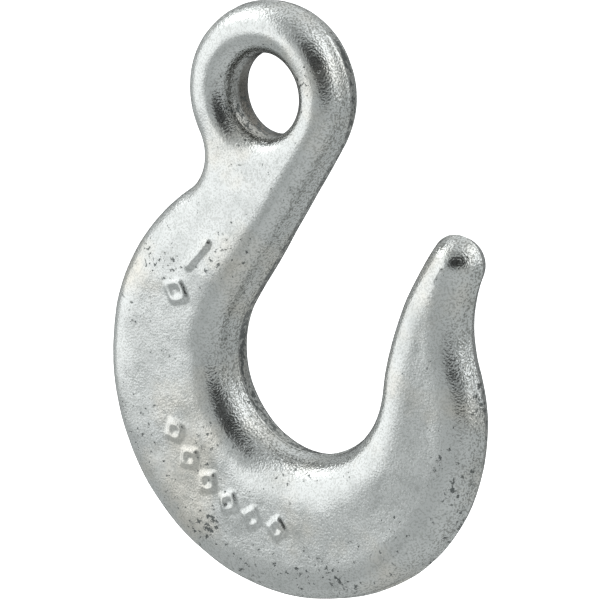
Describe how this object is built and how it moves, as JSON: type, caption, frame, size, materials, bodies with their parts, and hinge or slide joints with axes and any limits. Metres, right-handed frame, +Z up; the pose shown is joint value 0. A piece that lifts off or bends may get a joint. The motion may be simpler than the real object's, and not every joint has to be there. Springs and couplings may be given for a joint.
{
  "type": "eye slip hook",
  "caption": "Forged steel lifting or towing hook in one piece: a round eye, a flat-sided shank, a wide open bowl and a blunt point, with low raised marks on one face.",
  "frame": {"origin": "centre of the eye's hole, half way through its thickness", "axes": "+Z up the line of pull, from the bowl's centre through the eye's centre; +Y along the eye's axis, through the hook's thickness, away from the marked face; +X to the point's side"},
  "size_m": [0.0708, 0.012, 0.0934],
  "materials": {
    "zinc_plate": "dull zinc plate over a rough forged skin"
  },
  "bodies": {
    "root": {"hook_forging": "zinc_plate"}
  },
  "joints": []
}
